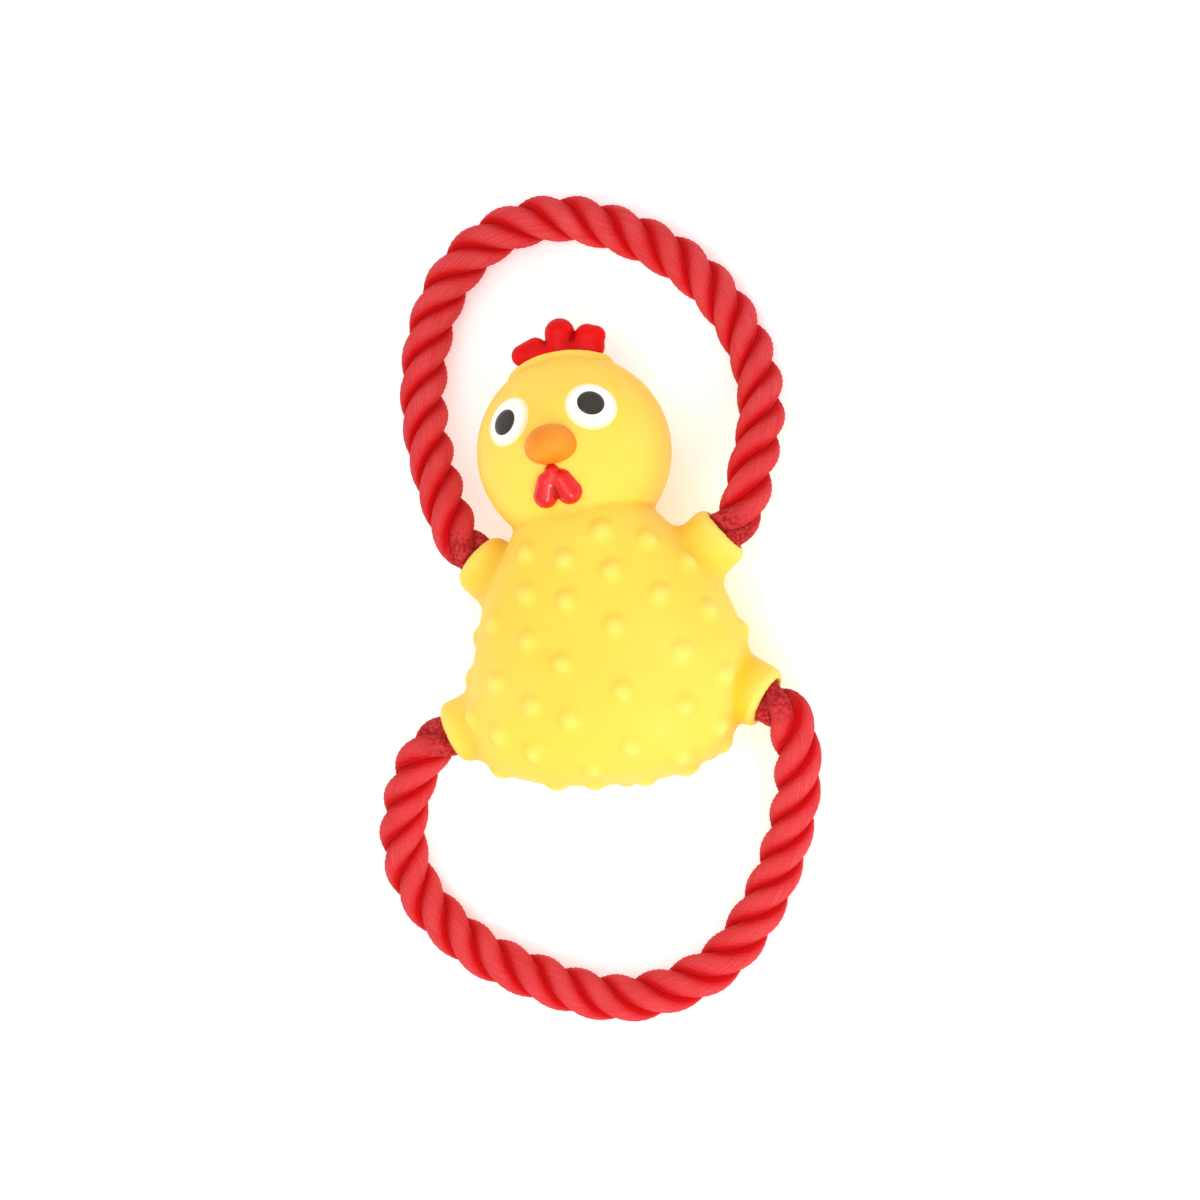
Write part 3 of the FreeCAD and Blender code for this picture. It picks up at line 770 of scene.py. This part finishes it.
def mould(name, field, low, high, cell):
    """A quad mesh of a form's surface: one point in each grid cell that it crosses, then moved onto it."""
    axes = [np.arange(low[k], high[k] + cell, cell) for k in range(3)]
    grid = np.stack(np.meshgrid(*axes, indexing="ij"), axis=-1)
    shape = grid.shape[:3]
    value = field(grid.reshape(-1, 3)).reshape(shape)
    inside = value < 0
    cells = tuple(n - 1 for n in shape)
    total = np.zeros((*cells, 3))
    crossings = np.zeros(cells)
    crossed_edges = []
    for axis in range(3):
        lower = [slice(None)] * 3
        upper = [slice(None)] * 3
        lower[axis], upper[axis] = slice(None, -1), slice(1, None)
        lower, upper = tuple(lower), tuple(upper)
        edge = np.argwhere(inside[lower] != inside[upper])
        at = tuple(edge.T)
        start, end = value[lower][at], value[upper][at]
        point = grid[at] + np.eye(3)[axis] * (cell * start / (start - end))[:, None]
        crossed_edges.append((axis, edge, inside[at]))
        for step_u in (0, 1):
            for step_v in (0, 1):
                shift = np.zeros(3, int)
                shift[(axis + 1) % 3], shift[(axis + 2) % 3] = step_u, step_v
                owner = tuple((edge - shift).T)
                np.add.at(total, owner, point)
                np.add.at(crossings, owner, 1)
    used = crossings > 0
    number = np.full(cells, -1)
    number[used] = np.arange(used.sum())
    points = settle(field, total[used] / crossings[used][:, None])
    faces = []
    for axis, edge, starts_inside in crossed_edges:
        corners = []
        for step_u, step_v in ((1, 1), (0, 1), (0, 0), (1, 0)):
            shift = np.zeros(3, int)
            shift[(axis + 1) % 3], shift[(axis + 2) % 3] = step_u, step_v
            corners.append(number[tuple((edge - shift).T)])
        quads = np.stack(corners, axis=1)
        quads[~starts_inside] = quads[~starts_inside][:, ::-1]
        faces.append(quads)
    return make_object(name, points, np.concatenate(faces))


def row_frame(local):
    return np.asarray(local) @ HEAD_TURN.T + HEAD_CENTRE


def on_face(local, longitude, latitude):
    """Points built round a place on the head, with z out from the head's centre, in the row frame."""
    return row_frame(np.asarray(local) @ face_turn(longitude, latitude).T)


def surface_bend(obj, cell, rounds=2):
    """How the surface bends at each point: towards 1 in a crease, and towards -1 on an edge."""
    points = np.array([v.co for v in obj.data.vertices])
    normals = np.array([v.normal for v in obj.data.vertices])
    edges = np.array([e.vertices[:] for e in obj.data.edges])
    count = np.bincount(edges.ravel(), minlength=len(points))

    def around(values):
        total = np.zeros(values.shape)
        np.add.at(total, edges[:, 0], values[edges[:, 1]])
        np.add.at(total, edges[:, 1], values[edges[:, 0]])
        return total / count.reshape(-1, *[1] * (values.ndim - 1))

    bend = ((around(points) - points) * normals).sum(axis=1) / cell
    for _ in range(rounds):
        bend = 0.5 * (bend + around(bend))
    return (bend / FULL_BEND).clip(-1, 1)


# Skin and head details -------------------------------------------------------

body = mould("latex_skin", skin, *SKIN_BOX, SKIN_CELL)
set_attribute(body, "bend", surface_bend(body, SKIN_CELL, rounds=5))
# painted shade for the folds at the sleeves' roots
set_attribute(body, "fold_painted_shade", fold_shade(np.array([v.co for v in body.data.vertices])))
body.data.materials.append(LATEX)
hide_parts("torso_skin", "head_skin")
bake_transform(body)


def detail(name, field, centre, reach, material, slot):
    """A painted form on the head, which replaces the CAD node of the same name."""
    centre = np.asarray(centre)
    obj = mould(name + "_moulding", field, centre - reach, centre + reach, DETAIL_CELL)
    set_attribute(obj, "bend", surface_bend(obj, DETAIL_CELL))
    obj.data.materials.append(material)
    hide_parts(name)
    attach(obj, "head")


detail("comb", comb, row_frame(COMB_ROOM[0]), COMB_ROOM[1], COMB_RED, "comb_red")
detail("beak", beak, row_frame(BEAK_ROOM[0]), BEAK_ROOM[1], BEAK_ORANGE, "beak_orange")
wattle_centre = on_face((0, 0, HEAD_R), 0, WATTLE_LATITUDE)
detail("wattle", wattle, wattle_centre, WATTLE_REACH, WATTLE_RED, "wattle_red")


def painted_oval(name, side, half, lift, middle, material):
    """A thin domed oval of paint that follows the head, with its edge sunk into the skin."""
    rings, sides = 14, 72
    share = np.linspace(1 / rings, 1, rings)
    angle = np.linspace(0, 2 * math.pi, sides, endpoint=False)
    across = middle[0] + half[0] * share[:, None] * np.cos(angle)
    up = middle[1] + half[1] * share[:, None] * np.sin(angle)
    height = HEAD_R + lift - (lift + PAINT_SINK) * share[:, None] ** PAINT_FLATNESS + 0 * across
    direction = unit(np.stack([across, up, np.full(across.shape, HEAD_R)], axis=-1))
    rings_of_points = (direction * height[..., None]).reshape(-1, 3)
    middle_direction = unit(np.array([*middle, HEAD_R]))
    poles = [middle_direction * (HEAD_R + lift), middle_direction * (HEAD_R - PAINT_SINK)]
    points = np.vstack([rings_of_points, poles])
    index = np.arange(rings * sides).reshape(rings, sides)
    after = np.roll(index, -1, axis=1)
    faces = list(np.stack([index[:-1], index[1:], after[1:], after[:-1]], axis=-1).reshape(-1, 4))
    top, bottom = rings * sides, rings * sides + 1
    faces += [(a, b, top) for a, b in zip(index[0], after[0])]
    faces += [(b, a, bottom) for a, b in zip(index[-1], after[-1])]
    obj = make_object(name + "_paint", on_face(points, side * EYE_LONGITUDE, EYE_LATITUDE), faces)
    set_attribute(obj, "rim", np.append(np.repeat(share, sides), [0, 1]))
    obj.data.materials.append(material)
    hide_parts(name)
    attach(obj, "head")
    return obj


for word, side in (("left", -1), ("right", 1)):
    white = painted_oval(word + "_eye_white", side, WHITE_HALF, WHITE_LIFT, WHITE_MIDDLE[word], EYE_WHITE)
    pupil = painted_oval(word + "_pupil", side, PUPIL_HALF, PUPIL_LIFT, PUPIL_MIDDLE[word], PUPIL_BLACK)


# Squeaker bellows ------------------------------------------------------------

def make_bellows():
    """A thin round-folded tube, turned from one closed section."""
    steps, sides = 48, 96
    share = np.linspace(0, 1, steps + 1)
    waist, crest = BELLOWS_R
    outer = (crest + waist) / 2 + (crest - waist) / 2 * np.cos(2 * math.pi * BELLOWS_FOLDS * share)
    height = BELLOWS_Z[0] + (BELLOWS_Z[1] - BELLOWS_Z[0]) * share
    radius = np.concatenate([outer, outer[::-1] - BELLOWS_WALL])[:, None]
    level = np.concatenate([height, height[::-1]])[:, None]
    angle = np.linspace(0, 2 * math.pi, sides, endpoint=False)
    points = np.stack([radius * np.cos(angle), radius * np.sin(angle), level + 0 * angle], axis=-1)
    index = np.arange(len(radius) * sides).reshape(-1, sides)
    above, after = np.roll(index, -1, axis=0), np.roll(index, -1, axis=1)
    faces = np.stack([index, after, np.roll(above, -1, axis=1), above], axis=-1).reshape(-1, 4)
    bellows = make_object("squeaker_bellows_folds", points.reshape(-1, 3), faces)
    bellows.data.materials.append(PLASTIC)
    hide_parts("squeaker_bellows")
    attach(bellows, "torso")
    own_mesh(bellows)


make_bellows()


# Floor and light -------------------------------------------------------------

def make_floor():
    corners = [(FLOOR_HALF * x, FLOOR_HALF * y, 0) for x, y in ((-1, -1), (1, -1), (1, 1), (-1, 1))]
    floor = make_object("floor", corners, [(0, 1, 2, 3)])
    paint = Paint("floor_paper", Roughness=0.9, Specular_IOR_Level=0.1)
    paint.colour(paint.mix(paint.noise(40.0, 2.0), (0.93, 0.93, 0.93, 1), (0.95, 0.95, 0.95, 1)))
    paint.shader.inputs["Emission Color"].default_value = (1, 1, 1, 1)
    paint.shader.inputs["Emission Strength"].default_value = FLOOR_GLOW
    floor.data.materials.append(paint.material)


def make_light(name, place, size, power):
    data = bpy.data.lights.new(name, "AREA")
    data.shape = "DISK"
    data.size = size
    data.energy = power
    light = bpy.data.objects.new(name, data)
    light.location = place
    light.rotation_mode = "QUATERNION"
    light.rotation_quaternion = (-Vector(place)).to_track_quat("-Z", "Y")
    bpy.context.scene.collection.objects.link(light)


def make_world():
    world = bpy.data.worlds.new("studio")
    world.use_nodes = True
    world.node_tree.nodes["Background"].inputs["Color"].default_value = (1, 1, 1, 1)
    world.node_tree.nodes["Background"].inputs["Strength"].default_value = WORLD_LIGHT
    bpy.context.scene.world = world


make_floor()
make_world()
make_light("key", *KEY_LIGHT)
make_light("fill", *FILL_LIGHT)
